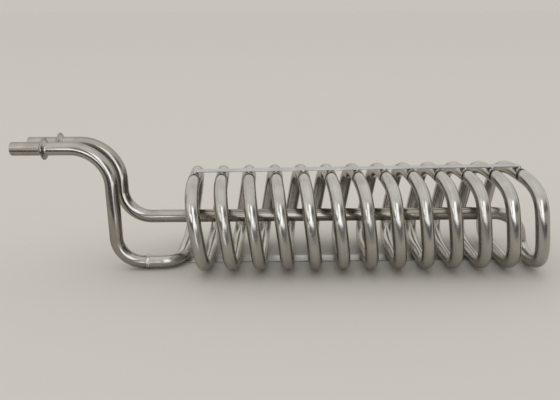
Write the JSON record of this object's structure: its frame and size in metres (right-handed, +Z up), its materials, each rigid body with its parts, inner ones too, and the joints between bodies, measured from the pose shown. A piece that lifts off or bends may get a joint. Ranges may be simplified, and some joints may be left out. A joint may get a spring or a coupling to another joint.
{
  "type": "immersion wort chiller",
  "caption": "Stainless tube wound in flattened loops round a level axis, with a return tube through the middle, two beaded hose stubs side by side and two flat spacer bars.",
  "frame": {"origin": "middle of the part's footprint, on the plane that it stands on, under the bottom spacer bar", "axes": "+X along the coil's level axis, away from the hose stubs; +Z up; the inlet tube is on the -Y side of the return tube"},
  "size_m": [0.501, 0.1238, 0.1319],
  "materials": {
    "tube": "polished stainless tube",
    "bar": "bright rolled stainless strip",
    "weld": "weld bead, slightly darker and rougher"
  },
  "bodies": {
    "root": {"coil_tube": "tube", "inlet_tube": "tube", "return_tube": "tube", "inlet_hose_bead": "tube", "return_hose_bead": "tube", "top_spacer_bar": "bar", "bottom_spacer_bar": "bar", "inlet_butt_weld": "weld", "return_butt_weld": "weld", "top_tack_welds": "weld", "bottom_tack_welds": "weld"}
  },
  "joints": []
}
